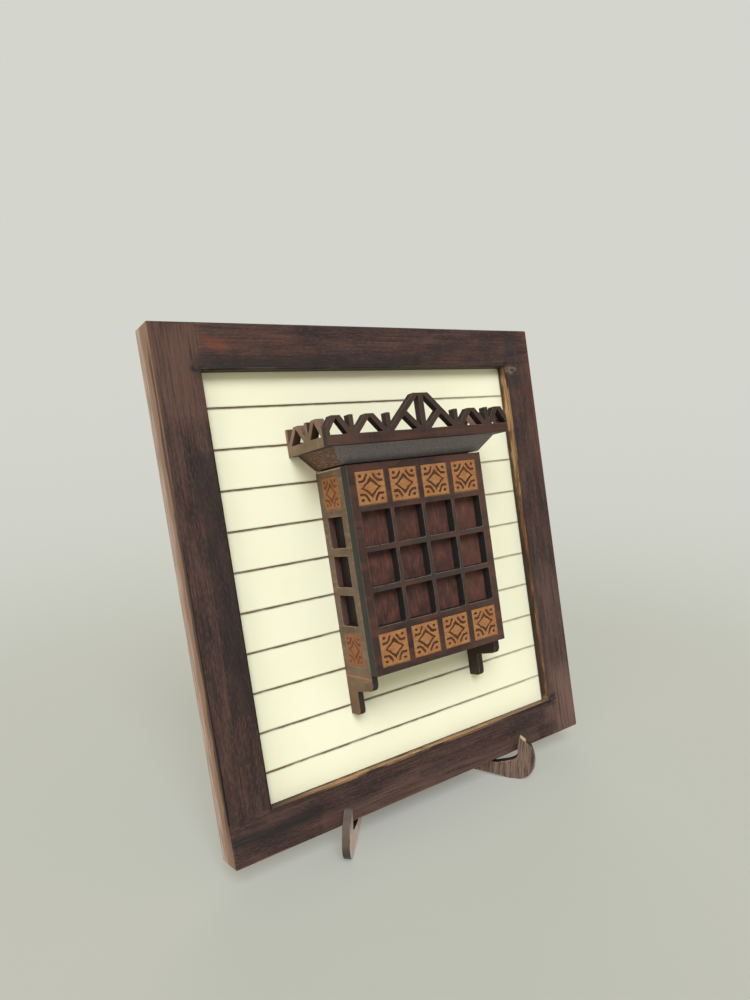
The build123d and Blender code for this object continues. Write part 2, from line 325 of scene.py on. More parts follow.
# Knocks and one pale scuff at the corners of the opening, in the same form
frame_knocks = [
    ((opening_half - 1, opening_half + 5, rail_width - 2, rail_width + 2.5, 3), 0.95, (22, 19, 19)),
    ((opening_half - 1, opening_half + 3, opening_top - 1, opening_top + 3, 3), 0.9, (22, 19, 19)),
    ((opening_half, opening_half + 8, opening_top - 3, opening_top, 3), 0.55, (160, 138, 120)),
    ((-opening_half - 4, 1 - opening_half, opening_top - 0.5, opening_top + 2, 2), 0.9, (24, 20, 20)),
]

# How gradually one brush direction gives way to the other at a joint
joint_soft = 2.0


def brush_marks(it, along_u, seed):
    # Fine streaks, wider clouds, pores and flecks, all drawn out along the brush strokes.
    def stretched(across, along):
        return (along, 2.0, across) if along_u else (across, 2.0, along)

    streak = it.noise(stretched(0.8, 30.0), seed, detail=5.0)
    wide = it.noise(stretched(5.0, 22.0), seed + 1.7, detail=4.0)
    pore = it.noise(stretched(0.3, 3.0), seed + 2.9, detail=2.0)
    fleck = it.noise(stretched(0.55, 2.4), seed + 3.8, detail=3.0)
    return streak, wide, pore, fleck


def lying_rails(it):
    # 1 on the top and bottom rails and 0 on the stiles, with an uneven border at the joints.
    stray = it.sway(it.noise(6.0, 4.4, detail=4.0), 14.0)
    u = it.math("ADD", it.u, stray)
    w = it.math("SUBTRACT", it.w, stray)
    above = it.both(
        it.step(w, opening_top - joint_soft, opening_top + joint_soft),
        it.step(u, -opening_half - joint_soft, -opening_half + joint_soft),
    )
    below = it.both(
        it.step(w, rail_width + joint_soft, rail_width - joint_soft),
        it.step(u, opening_half + joint_soft, opening_half - joint_soft),
    )
    return it.either(above, below)


def rim_distance(it):
    # How far a place lies outside the opening.
    from_middle = it.absolute(it.math("SUBTRACT", it.w, opening_middle))
    past_w = it.math("SUBTRACT", from_middle, opening_top - opening_middle)
    past_u = it.math("SUBTRACT", it.absolute(it.u), opening_half)
    return it.either(past_w, past_u)


def frame_face(it):
    marks = zip(brush_marks(it, False, 5.0), brush_marks(it, True, 3.1))
    lying = lying_rails(it)
    streak, wide, pore, fleck = [it.between(lying, upright, level) for upright, level in marks]
    tone = it.blend(streak, wide, 0.55)
    face = it.ramp(tone, (0.38, stain_deep), (0.5, stain_middle), (0.62, stain_light))
    face = it.tint(face, it.step(pore, 0.42, 0.33), 0.4, stain_pooled)
    face = it.tint(face, it.step(fleck, 0.5, 0.66), 0.35, fleck_pale)
    face = it.tint(face, it.step(fleck, 0.5, 0.36), 0.35, fleck_dark)
    cloud = it.step(it.noise((9.0, 5.0, 9.0), 6.6, detail=4.0), 0.46, 0.64)
    weaker_low = it.math("MULTIPLY_ADD", it.step(it.w, 70.0, 170.0), 0.7, 0.3)
    face = it.tint(face, it.both(cloud, it.step(streak, 0.4, 0.62), weaker_low), 0.36, stain_red)
    face = it.patch(face, frame_patches, it.step(streak, 0.3, 0.56))
    smear = it.both(it.step(rim_distance(it), 2.6, 0.2), it.step(wide, 0.42, 0.56))
    face = it.tint(face, smear, 0.65, stain_pooled)
    speck = it.noise((2.6, 2.0, 1.5), 7.7, detail=5.0)
    face = it.patch(face, frame_knocks, it.step(speck, 0.4, 0.56))
    return face, streak


# Outer sides of the frame: pale wood, orange-brown towards the front, with a dark run along the edge

outer_dark = colour(146, 121, 105)
outer_middle = colour(176, 151, 134)
outer_light = colour(202, 180, 164)
outer_warm = colour(134, 96, 68)
outer_run = colour(62, 43, 39)


def outer_side(it):
    grain = it.noise((2.0, 1.4, 16.0), 10.0, detail=4.0)
    side = it.ramp(grain, (0.36, outer_dark), (0.5, outer_middle), (0.64, outer_light))
    depth = it.math("ADD", it.v, it.sway(it.noise((3.0, 3.0, 14.0), 11.0, detail=4.0), 5.0))
    side = it.tint(side, it.step(depth, 10.5, 6.0), 0.8, outer_warm)
    run = it.both(it.step(depth, 3.6, 2.4), it.step(it.w, 214.0, 196.0), it.step(it.w, -6.0, 30.0))
    return it.tint(side, run, 0.92, outer_run)


def outer_side_mask(it):
    sideways = it.step(it.absolute(it.across), 0.8, 0.95)
    return it.both(sideways, it.step(it.absolute(it.u), opening_half + 8, opening_half + 12))


# Walls of the opening: raw wood with stain that ran over the edge, with painted shade in the crease by the
# board, near the top and on faces that look down

wall_dark = colour(66, 42, 32)
wall_middle = colour(110, 74, 52)
wall_light = colour(146, 102, 72)
gold_dark = colour(112, 78, 54)
gold_middle = colour(164, 124, 84)
gold_light = colour(198, 158, 114)
wall_drip = colour(82, 54, 40)
wall_crease_shade = colour(42, 28, 23)
wall_dull = colour(112, 88, 68)
wall_top_shade = colour(60, 46, 38)
wall_left = colour(52, 38, 32)
wall_underside_shade = colour(34, 26, 24)


def inner_wall(it):
    # Painted shade beside the board, gold on the upper half and along the bottom, and painted shade near the
    # top and on faces that look down.
    grain = it.noise((14.0, 0.9, 14.0), 13.0, detail=4.0)
    drip = it.noise((9.0, 4.0, 9.0), 14.0, detail=4.0)
    wall = it.ramp(grain, (0.36, wall_dark), (0.5, wall_middle), (0.64, wall_light))
    gold = it.ramp(grain, (0.36, gold_dark), (0.5, gold_middle), (0.64, gold_light))
    high = it.step(it.w, 112.0, 150.0)
    low = it.both(it.step(it.w, rail_width + 3, rail_width + 1), it.step(it.u, -74.0, -58.0))
    wall = it.mix(it.either(high, low), wall, gold)
    wall = it.tint(wall, it.step(drip, 0.52, 0.64), 0.6, wall_drip)
    # Painted shade in the crease beside the board, reaching further out on the lower half
    depth = it.math("ADD", it.v, it.sway(drip, 5.0))
    lower_half = it.both(it.step(it.w, 130.0, 90.0), it.step(it.w, 20.0, 24.0))
    depth = it.math("ADD", depth, it.math("MULTIPLY", lower_half, 1.4))
    wall = it.tint(wall, it.step(depth, board_front - 3.4, board_front - 1.8), 0.85, wall_crease_shade)
    right_foot = it.both(it.step(it.w, 22.0, 19.0), it.step(it.u, 30.0, 66.0))
    wall = it.tint(wall, right_foot, 0.85, wall_dull)
    # Painted shade near the top of the opening and on the walls that look down
    wall = it.tint(wall, it.step(it.w, opening_top - 7.0, opening_top - 2.0), 0.6, wall_top_shade)
    wall = it.tint(wall, it.step(it.u, 40 - opening_half, -opening_half), 0.6, wall_left)
    return it.tint(wall, it.step(it.upward, -0.3, -0.8), 0.9, wall_underside_shade)


def inner_wall_mask(it):
    inside = it.step(it.absolute(it.inward), 0.6, 0.3)
    in_u = it.step(it.absolute(it.u), opening_half + 6, opening_half + 5.2)
    return it.both(inside, in_u, it.band(it.w, rail_width - 5.6, opening_top + 5.6, 0.4))


# Edges of the frame where the stain is rubbed away; the lines round the opening are a painted highlight as
# well

rubbed_foot = colour(140, 96, 72)
rubbed_side = colour(150, 116, 84)
rubbed_crown = colour(168, 140, 116)
rubbed_rim_and_highlight = colour(168, 130, 92)


def worn_and_highlit_edges(it, shade, rub):
    side = it.step(it.absolute(it.u), frame_half - 0.4, frame_half - 0.2)
    side = it.both(it.step(rub, 0.3, 0.42), side, it.step(it.w, 120.0, 180.0))
    shade = it.tint(shade, side, 0.7, rubbed_side)
    crown = it.both(it.step(it.w, frame_top - 0.5, frame_top - 0.25), it.band(it.u, 24.0, 80.0, 8.0))
    shade = it.tint(shade, it.both(crown, it.step(rub, 0.36, 0.5)), 0.55, rubbed_crown)
    # Light lines along the right and lower edges of the opening: rubbed wood and a painted highlight
    right = it.both(
        it.band(it.u, opening_half - 0.4, opening_half + 1.2, 0.2),
        it.step(it.w, opening_top, opening_top - 1),
        it.step(it.w, 120.0, 165.0),
    )
    lower = it.both(
        it.band(it.w, rail_width - 1.2, rail_width + 0.4, 0.2),
        it.step(it.u, opening_half, opening_half - 1),
        it.step(it.u, -66.0, -40.0),
        it.step(it.u, 64.0, 30.0),
    )
    upper = it.both(it.band(it.w, opening_top - 0.4, opening_top + 1.2, 0.2), it.step(rub, 0.5, 0.56))
    rim = it.either(right, lower, it.math("MULTIPLY", upper, 0.12))
    return it.tint(shade, it.both(it.step(rub, 0.4, 0.52), rim), 0.8, rubbed_rim_and_highlight)


def frame_stain(name, worn=False):
    it = Finish(name, specular=0.25)
    face, streak = frame_face(it)
    shade = it.mix(outer_side_mask(it), face, outer_side(it))
    shade = it.mix(inner_wall_mask(it), shade, inner_wall(it))
    rub = it.noise((26.0, 6.0, 26.0), 16.0, detail=5.0)
    foot = it.both(it.step(it.w, 0.9, 0.5), it.step(rub, 0.42, 0.52))
    shade = it.tint(shade, foot, 0.8, rubbed_foot)
    if worn:
        shade = worn_and_highlit_edges(it, shade, rub)
    return it.show(shade, height=streak, roughness=it.math("MULTIPLY_ADD", streak, 0.2, 0.45))


# Ivory paint on the scored board. The scored lines are scorched, and their soot spreads a little.

ivory_low = colour(249, 247, 215)
ivory_high = colour(251, 249, 221)
scorch_dark = colour(92, 76, 54)
scorch_light = colour(126, 104, 74)
bare_dark = colour(118, 88, 62)
bare_light = colour(158, 126, 92)
bare_cloud = colour(104, 76, 56)


def ivory_paint():
    it = Finish("ivory_paint", specular=0.25)
    cloud = it.noise(26.0, 21.0)
    paint = it.mix(it.step(cloud, 0.35, 0.7), ivory_low, ivory_high)
    wander = it.noise((7.0, 3.0, 3.0), 22.0, detail=4.0)
    height = it.math("ADD", it.w, it.sway(wander, 0.55))
    turns = it.math("DIVIDE", it.math("SUBTRACT", height, groove_first), groove_pitch)
    off = it.absolute(it.math("SUBTRACT", turns, it.math("ROUND", turns)))
    off = it.math("MULTIPLY", off, groove_pitch)
    soot = it.either(it.step(off, 0.62, 0.3), it.math("MULTIPLY", it.step(off, 1.15, 0.4), 0.3))
    fainter_right = it.math("SUBTRACT", 1.0, it.math("MULTIPLY", it.step(it.u, 0.0, 70.0), 0.35))
    patchy = it.math("MULTIPLY_ADD", it.step(wander, 0.35, 0.6), 0.22, 0.78)
    front = it.step(it.v, board_front + 1.2, board_front + 0.8)
    scorch = it.mix(it.step(wander, 0.4, 0.62), scorch_dark, scorch_light)
    shade = it.mix(it.both(soot, fainter_right, patchy, front), paint, scorch)
    roughness = it.math("MULTIPLY_ADD", cloud, 0.12, 0.55)
    return it.show(shade, height=it.noise(1.4, 23.0, detail=4.0), bump_mm=0.015, roughness=roughness)


def raw_board():
    it = Finish("raw_board", roughness=0.85, specular=0.2)
    fibre = it.noise(0.7, 31.0, detail=5.0)
    cloud = it.noise(40.0, 32.0, detail=2.0)
    shade = it.ramp(fibre, (0.3, bare_dark), (0.7, bare_light))
    shade = it.tint(shade, it.step(cloud, 0.45, 0.7), 0.35, bare_cloud)
    return it.show(shade, height=fibre, bump_mm=0.06)


# Thin stained plates of the window box. Faces keep the stain; cut walls are scorched dark, and painted light
# turns some of them brown or lighter.

jamb_painted_light = colour(98, 68, 58)
lattice_red = colour(98, 58, 46)
lattice_bleached = colour(104, 76, 64)
lattice_bars = colour(62, 56, 50)
side_streak = colour(150, 116, 84)
side_corbel = colour(104, 68, 42)
side_glue = colour(178, 112, 58)
side_rubbed = colour(196, 172, 132)
side_inner_shade = colour(37, 30, 29)
crest_red = colour(88, 50, 38)
crest_left_end = colour(96, 78, 60)

# Widths of the lattice plate's borders outside the open windows, beside them and with the tiles
border_beside = 7.0
border_with_tiles = 19.5
crest_band_height = 4.6


def plate_stain(name, seed, dark, light, cut, facing, lip_and_highlight=None, marks=None, top=None):
    # facing is the axis that the plate's faces look along. The lip colour is rubbed wear and a painted
    # highlight, on edges that face up or right.
    it = Finish(name, specular=0.3)
    grain = it.noise((1.0, 1.0, 9.0), seed, detail=4.0)
    fleck = it.noise(0.8, seed + 1.0, detail=4.0)
    cloud = it.noise(13.0, seed + 2.0)
    tone = it.blend(it.blend(cloud, fleck, 0.35), grain, 0.3)
    face = it.ramp(tone, (0.38, colour(*dark)), (0.62, colour(*light)))
    if marks:
        face = marks(it, face, seed)
    wall = it.ramp(fleck, (0.35, colour(*[0.7 * value for value in cut])), (0.65, colour(*cut)))
    if facing == "u":
        wall = it.tint(wall, jamb_mask(it), 0.95, jamb_painted_light)
    # Cut walls that face up are lightened: a painted highlight
    if top:
        upper = it.both(it.step(it.upward, 0.2, 0.5), it.step(grain, 0.34, 0.5))
        wall = it.tint(wall, upper, 0.85, colour(*top))
    normal = it.across if facing == "u" else it.inward
    shade = it.mix(it.step(it.absolute(normal), 0.5, 0.8), wall, face)
    if lip_and_highlight:
        # Painted highlight and wear on eased edges that face up or to the right
        rub = it.noise(2.2, seed + 4.0, detail=4.0)
        lit = it.either(it.step(it.across, 0.1, 0.4), it.step(it.upward, 0.1, 0.4))
        lit = it.either(lit, it.math("MULTIPLY", it.step(it.across, -0.2, -0.5), 0.5))
        shade = it.tint(shade, it.both(it.step(rub, 0.3, 0.55), lit), 0.75, colour(*lip_and_highlight))
    return it.show(shade, height=tone, roughness=it.math("MULTIPLY_ADD", fleck, 0.2, 0.42))


def jamb_mask(it):
    # Cut walls of the side openings that look to the front, above the corbels, where painted light turns the
    # scorched colour brown.
    forward = it.step(it.inward, -0.5, -0.8)
    above = it.step(it.w, corbel_top + 3.5, corbel_top + 7.5)
    return it.both(forward, above, it.step(it.v, side_low.y + 2, side_high.y))


def lattice_marks(it, face, seed):
    red = it.noise((16.0, 16.0, 5.0), seed + 6.0)
    face = it.tint(face, it.step(red, 0.46, 0.64), 0.45, lattice_red)
    face = it.tint(face, it.zone(20, 44, 60, 156, 14), 0.2, lattice_bleached)
    bars = it.band(it.u, lattice_low.x + border_beside, lattice_high.x - border_beside, 1.0)
    rows = it.band(it.w, lattice_low.z + border_with_tiles, lattice_high.z - border_with_tiles, 1.0)
    return it.tint(face, it.both(bars, rows, it.step(red, 0.7, 0.4)), 0.5, lattice_bars)


def side_marks(it, face, seed):
    # The inner face is painted nearly black as shade, the top is rubbed, and glue shows where the corbel was
    # joined.
    streak = it.noise((2.0, 9.0, 1.2), seed + 6.0, detail=4.0)
    face = it.tint(face, it.step(streak, 0.54, 0.66), 0.5, side_streak)
    face = it.tint(face, it.step(it.w, corbel_top + 1.5, corbel_top - 8.5), 0.62, side_corbel)
    glue = it.both(it.band(it.w, corbel_top - 0.3, corbel_top + 0.3, 0.25), it.step(streak, 0.36, 0.5))
    face = it.tint(face, glue, 0.7, side_glue)
    height = it.math("ADD", it.w, it.math("MULTIPLY", streak, 2.0))
    face = it.tint(face, it.step(height, side_high.z + 0.1, side_high.z + 0.6), 0.8, side_rubbed)
    inner = it.band(it.u, side_low.x + 1.0, side_right_end - 1.0, 0.3)
    return it.tint(face, inner, 0.9, side_inner_shade)


def crest_marks(it, face, seed):
    along = it.noise((22.0, 4.0, 1.6), seed + 6.0, detail=4.0)
    band = it.step(it.w, crest_foot + crest_band_height, crest_foot + crest_band_height - 1.0)
    face = it.tint(face, it.both(it.step(along, 0.42, 0.6), band), 0.5, crest_red)
    return it.tint(face, it.step(it.u, -20.0, -48.0), 0.25, crest_left_end)


# Red-brown panels behind the openings and speckled panels under the crest, with painted shade and a painted
# reflection

backing_dark = colour(54, 37, 35)
backing_middle = colour(82, 53, 46)
backing_light = colour(112, 68, 56)
backing_right = colour(122, 80, 64)
backing_side_shade = colour(22, 16, 15)
soffit_dark = colour(44, 29, 24)
soffit_middle = colour(93, 66, 52)
soffit_light = colour(158, 124, 104)
soffit_red = colour(112, 56, 44)
soffit_rear_shade = colour(50, 36, 30)
reflection_grey_dark = colour(106, 102, 101)
reflection_grey_light = colour(136, 132, 132)


def backing_stain_and_shade():
    it = Finish("backing_stain_and_shade", specular=0.25)
    streak = it.noise((0.6, 0.6, 7.0), 61.0, detail=5.0)
    tone = it.blend(it.noise((4.0, 4.0, 6.0), 62.0, detail=5.0), streak, 0.5)
    shade = it.ramp(tone, (0.37, backing_dark), (0.5, backing_middle), (0.63, backing_light))
    shade = it.tint(shade, it.step(it.u, 8.0, 30.0), 0.25, backing_right)
    # Panels that face sideways, deep in the box, are painted near-black as shade
    sideways = it.both(it.step(it.inward, -0.5, -0.2), it.step(it.absolute(it.across), 0.5, 0.9))
    shade = it.tint(shade, sideways, 0.94, backing_side_shade)
    return it.show(shade, height=streak, roughness=it.math("ADD", streak, 0.1))


def soffit_stain_shade_reflection():
    it = Finish("soffit_stain_shade_reflection", specular=0.3)
    fleck = it.noise((1.0, 1.0, 0.8), 71.0, detail=4.0)
    shade = it.ramp(fleck, (0.34, soffit_dark), (0.5, soffit_middle), (0.64, soffit_light))
    red = it.noise(2.4, 72.0, detail=4.0)
    shade = it.tint(shade, it.step(red, 0.46, 0.62), 0.4, soffit_red)
    # Darker towards the back: painted shade where the soffit meets the board
    shade = it.tint(shade, it.step(it.v, -1.0, 5.0), 0.7, soffit_rear_shade)
    # Faces that look to the front and down are grey: a painted reflection
    front = it.step(it.absolute(it.across), 0.35, 0.2)
    grey_reflection = it.ramp(fleck, (0.3, reflection_grey_dark), (0.7, reflection_grey_light))
    shade = it.mix(it.math("MULTIPLY", front, 0.94), shade, grey_reflection)
    return it.show(shade, height=fleck, roughness=it.math("ADD", fleck, 0.1))


# Engraved tiles, coloured by how deep the cut is

tile_dulled = colour(128, 84, 58)


def tile_finish(name, seed, wood, scorch, dull=False):
    # dull takes some warmth from the wood of the tiles low on the window box.
    it = Finish(name, roughness=0.65, specular=0.25)
    depth = it.add("ShaderNodeAttribute", attribute_name="carve").outputs["Fac"]
    grain = it.noise((4.0, 1.2, 0.8), seed, detail=5.0)
    cloud = it.noise(5.0, seed + 1.0)
    dark, light = shifted(wood, -16, -15, -12), shifted(wood, 14, 14, 13)
    shade = it.ramp(grain, (0.32, dark), (0.5, colour(*wood)), (0.68, light))
    shade = it.tint(shade, it.step(cloud, 0.45, 0.7), 0.45, shifted(wood, -14, -26, -20))
    if dull:
        shade = it.tint(shade, it.step(it.w, 120.0, 90.0), 0.6, tile_dulled)
    burn = it.ramp(cloud, (0.35, shifted(scorch, -14, -9, -6)), (0.65, shifted(scorch, 14, 9, 6)))
    ragged_depth = it.math("ADD", depth, it.sway(grain, 0.35))
    shade = it.mix(it.step(ragged_depth, 0.12, 0.5), shade, burn)
    return it.show(shade, height=grain)


# Plates of the stand, in places and directions that turn with each plate

hook_dark = colour(44, 33, 31)
hook_brown = colour(92, 74, 67)
hook_grey = colour(120, 97, 87)
hook_orange = colour(140, 101, 80)
hook_fleck = colour(138, 116, 102)
hook_bleached = colour(230, 208, 192)
hook_wall_dark = colour(60, 58, 53)
hook_wall_light = colour(80, 73, 66)
hook_wall_warm = colour(102, 85, 77)
hook_seat_shade = colour(48, 39, 35)
hook_tip_cream = colour(206, 186, 144)
hook_rubbed = colour(170, 148, 120)


def hook_side(it, hand, grain, fleck, height):
    # Wide faces. The left plate is bleached low down on the face that looks right.
    side = it.ramp(
        grain,
        (0.38, hook_dark),
        (0.47, hook_brown),
        (0.54, hook_grey),
        (0.62, hook_orange),
    )
    side = it.tint(side, it.step(fleck, 0.5, 0.65), 0.3, hook_fleck)
    if hand < 0:
        pale = it.both(it.step(height, 26.0, 12.0), it.step(it.across, 0.3, 0.5), it.step(it.v, 26.0, 6.0))
        side = it.tint(side, it.both(pale, it.step(grain, 0.36, 0.5)), 0.85, hook_bleached)
    return side


def hook_wall(it, hand, rub, height, upward):
    # Cut edges. The seat under the plaque is painted dark as shade, and the tip of the right hook is rubbed
    # to raw wood.
    wall = it.ramp(rub, (0.35, hook_wall_dark), (0.65, hook_wall_light))
    wall = it.tint(wall, it.band(height, 9.0, 22.0, 3.0), 0.65, hook_wall_warm)
    dark_from = -40.0 if hand > 0 else -5.0
    seat = it.both(it.step(upward, 0.2, 0.5), it.step(it.v, dark_from, dark_from + 2.0))
    wall = it.mix(seat, wall, hook_seat_shade)
    if hand > 0:
        tip = it.both(it.step(height, tip_height - 2.6, tip_height - 1.6), it.step(it.v, 3.0, 0.0))
        wall = it.tint(wall, it.both(tip, it.step(rub, 0.3, 0.4)), 0.9, hook_tip_cream)
    return wall


def stand_stain(name, hand, worn=False):
    # hand is the way the plate is turned about the upright: -1 for the left plate, 1 for the right.
    it = Finish(name, specular=0.25)

    def turned(kind, source):
        node = it.add("ShaderNodeMapping", vector_type=kind)
        it.feed(node.inputs["Vector"], source)
        node.inputs["Rotation"].default_value = (0, 0, math.radians(hand * stand_angle))
        return node

    spot = turned("POINT", it.add("ShaderNodeTexCoord").outputs["Object"])
    spot.inputs["Scale"].default_value = (1 / mm, 1 / mm, 1 / mm)
    place = spot.outputs[0]
    normal = turned("VECTOR", it.add("ShaderNodeNewGeometry").outputs["True Normal"]).outputs[0]
    through, upward = it.split(normal)[1:]
    height = it.split(place)[2]
    fine = it.noise((0.6, 0.6, 9.0), 82.0 + hand, detail=5.0, place=place)
    grain = it.blend(it.noise((1.6, 1.6, 24.0), 81.0 + hand, detail=5.0, place=place), fine, 0.55)
    fleck = it.noise(0.8, 83.0, detail=4.0, place=place)
    rub = it.noise(3.0, 85.0, detail=4.0, place=place)
    wall = hook_wall(it, hand, rub, height, upward)
    side = hook_side(it, hand, grain, fleck, height)
    shade = it.mix(it.step(it.absolute(through), 0.4, 0.7), wall, side)
    if worn:
        shade = it.tint(shade, it.step(rub, 0.46, 0.6), 0.35 + 0.15 * hand, hook_rubbed)
    return it.show(shade, height=grain, roughness=it.math("ADD", fleck, 0.1))


# Dressing CAD nodes: eased edges with a second, more worn finish

weld_distance = 1e-6
flat_angle = math.radians(0.5)
sharp_angle = math.radians(32)


def dress(names, face_finish, edge_finish=None, ease=0.3, rounds=2):
    for name in names:
        piece = nodes[name]
        piece.data.materials.clear()
        piece.data.materials.append(face_finish)
        piece.data.materials.append(edge_finish or face_finish)
        weld = piece.modifiers.new("weld", "WELD")
        weld.merge_threshold = weld_distance
        flat = piece.modifiers.new("flat", "DECIMATE")
        flat.decimate_type = "DISSOLVE"
        flat.angle_limit = flat_angle
        eased = piece.modifiers.new("eased", "BEVEL")
        eased.width = ease * mm
        eased.segments = rounds
        eased.limit_method = "ANGLE"
        eased.angle_limit = sharp_angle
        eased.use_clamp_overlap = False
        eased.material = 1
        smooth = piece.modifiers.new("smooth", "WEIGHTED_NORMAL")
        smooth.keep_sharp = False


# Frame rails as copies with a rounded edge wherever no other rail joins

rail_ease = 0.8
rail_rounds = 3
same_place = 0.001
near_joint = 0.05
joint_plane = {
    "frame_left_stile": (2, opening_top),
    "frame_top_rail": (0, opening_half),
    "frame_right_stile": (2, rail_width),
    "frame_bottom_rail": (0, -opening_half),
}


def in_joint(place):
    # Corners of the frame, where two rails meet.
    at_side = abs(place.x) > opening_half - near_joint
    return at_side and (place.z > opening_top - near_joint or place.z < rail_width + near_joint)


def on_joint_face(first, second):
    if not all(in_joint(place) for place in (first, second, (first + second) / 2)):
        return False
    for axis, value in ((0, opening_half), (2, opening_top), (2, rail_width)):
        if all(abs(abs(place[axis]) - value) < near_joint for place in (first, second)):
            return True
    return False


def open_edges(shape):
    # Sharp edges of a rail that don't lie in a joint.
    edges = [edge for edge in shape.edges if len(edge.link_faces) == 2]
    edges = [edge for edge in edges if edge.calc_face_angle() > sharp_angle]
    return [edge for edge in edges if not on_joint_face(edge.verts[0].co, edge.verts[1].co)]


def corner_normal(face, corner):
    # Wide faces stay flat. A rounded edge takes the wide face's normal where it meets one.
    if face.material_index == 0:
        return face.normal.copy()
    wide = [other.normal for other in corner.link_faces if other.material_index == 0]
    if wide:
        return max(wide, key=face.normal.dot).copy()
    return sum((other.normal for other in corner.link_faces), Vector()).normalized()


def eased_rail(node, face_finish, edge_finish):
    shape = bmesh.new()
    shape.from_mesh(nodes[node].data)
    bmesh.ops.transform(shape, matrix=Matrix.Scale(1 / mm, 4) @ panel_inverse, verts=shape.verts)
    bmesh.ops.remove_doubles(shape, verts=shape.verts, dist=same_place)
    bmesh.ops.dissolve_limit(shape, angle_limit=flat_angle, verts=shape.verts, edges=shape.edges)
    axis, value = joint_plane[node]
    spot, normal = Vector(), Vector()
    spot[axis], normal[axis] = value, 1.0
    everything = list(shape.verts) + list(shape.edges) + list(shape.faces)
    bmesh.ops.bisect_plane(shape, geom=everything, dist=same_place, plane_co=spot, plane_no=normal)
    bmesh.ops.bevel(shape, geom=open_edges(shape), offset=rail_ease, offset_type="OFFSET",
                    segments=rail_rounds, profile=0.5, affect="EDGES", material=1, clamp_overlap=True)
    bmesh.ops.transform(shape, matrix=panel @ Matrix.Scale(mm, 4), verts=shape.verts)
    shape.normal_update()
    normals = [corner_normal(face, corner.vert) for face in shape.faces for corner in face.loops]
    mesh = bpy.data.meshes.new("eased_" + node)
    for face in shape.faces:
        face.smooth = True
    for edge in shape.edges:
        edge.smooth = True
    shape.to_mesh(mesh)
    shape.free()
    mesh.normals_split_custom_set(normals)
    mesh.materials.append(face_finish)
    mesh.materials.append(edge_finish)
    piece = bpy.data.objects.new("eased_" + node, mesh)
    bpy.context.scene.collection.objects.link(piece)
    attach(piece, "root")
    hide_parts(node)


# Carved tiles: a pointed star round a diamond, a bracket and a dot in each corner, on a square pattern

pattern_size = 14.1
carve_depth = 0.42
star_reach = (5.35, 4.95)
star_power = 0.85
star_steepness = 14.0
diamond_reach = (3.5, 2.6)
diamond_steepness = 10.0
stroke_width = 1.02
stroke_soft = 0.24
bracket = [(1.75, 5.35), (2.2, 4.45), (2.75, 3.6), (3.45, 2.95), (4.3, 2.75), (5.5, 2.75)]
dot_place = (4.8, 5.05)
dot_radius = (0.76, 0.56)
dot_spread = 1.25
dot_steepness = 2.2

# Unevenness of handwork: lines that waver, cuts of uneven depth, a worn rim and a rippled face
line_waver = 0.12
least_cut = 0.92
cut_ripple = 0.1
rim_width = 0.3
rim_sink = 0.16
face_ripple = 0.012
wave_lengths = (1.2, 5.0)
full_turn = 6.28


def distance_to_line(x, y, points):
    nearest = np.full(x.shape, 1e9)
    for (ax, ay), (bx, by) in zip(points, points[1:]):
        run = (bx - ax, by - ay)
        length = run[0] ** 2 + run[1] ** 2
        share = np.clip(((x - ax) * run[0] + (y - ay) * run[1]) / length, 0, 1)
        nearest = np.minimum(nearest, np.hypot(x - ax - share * run[0], y - ay - share * run[1]))
    return nearest


def carving(x, y, wobble):
    # How deep the pattern is cut, from 0 to 1, on a tile as large as pattern_size.
    x, y = np.abs(x + line_waver * wobble[0]), np.abs(y + line_waver * wobble[1])
    star = (x / star_reach[0]) ** star_power + (y / star_reach[1]) ** star_power
    diamond = x / diamond_reach[0] + y / diamond_reach[1]
    star_inside = np.clip((1 - star) * star_steepness, 0, 1)
    diamond_outside = np.clip((diamond - 1) * diamond_steepness, 0, 1)
    ring = np.minimum(star_inside, diamond_outside)
    from_stroke = distance_to_line(x, y, bracket)
    stroke = np.clip(((stroke_width + stroke_soft) / 2 - from_stroke) / stroke_soft, 0, 1)
    dot = np.hypot((x - dot_place[0]) / dot_radius[0], (y - dot_place[1]) / dot_radius[1])
    dot = np.clip((dot_spread - dot) * dot_steepness, 0, 1)
    deepest = np.maximum(np.maximum(ring, stroke), dot)
    return deepest * deepest * (3 - 2 * deepest)


def soft_noise(x, y, waves, seed):
    # A sum of a few fixed waves, for the small unevenness of hand finishing.
    pick = np.random.default_rng(seed)
    total = np.zeros(x.shape)
    for _ in range(waves):
        angle = pick.uniform(0, full_turn)
        length = pick.uniform(*wave_lengths)
        phase = pick.uniform(0, full_turn)
        total += np.sin((x * math.cos(angle) + y * math.sin(angle)) * full_turn / length + phase)
    return total / math.sqrt(waves)


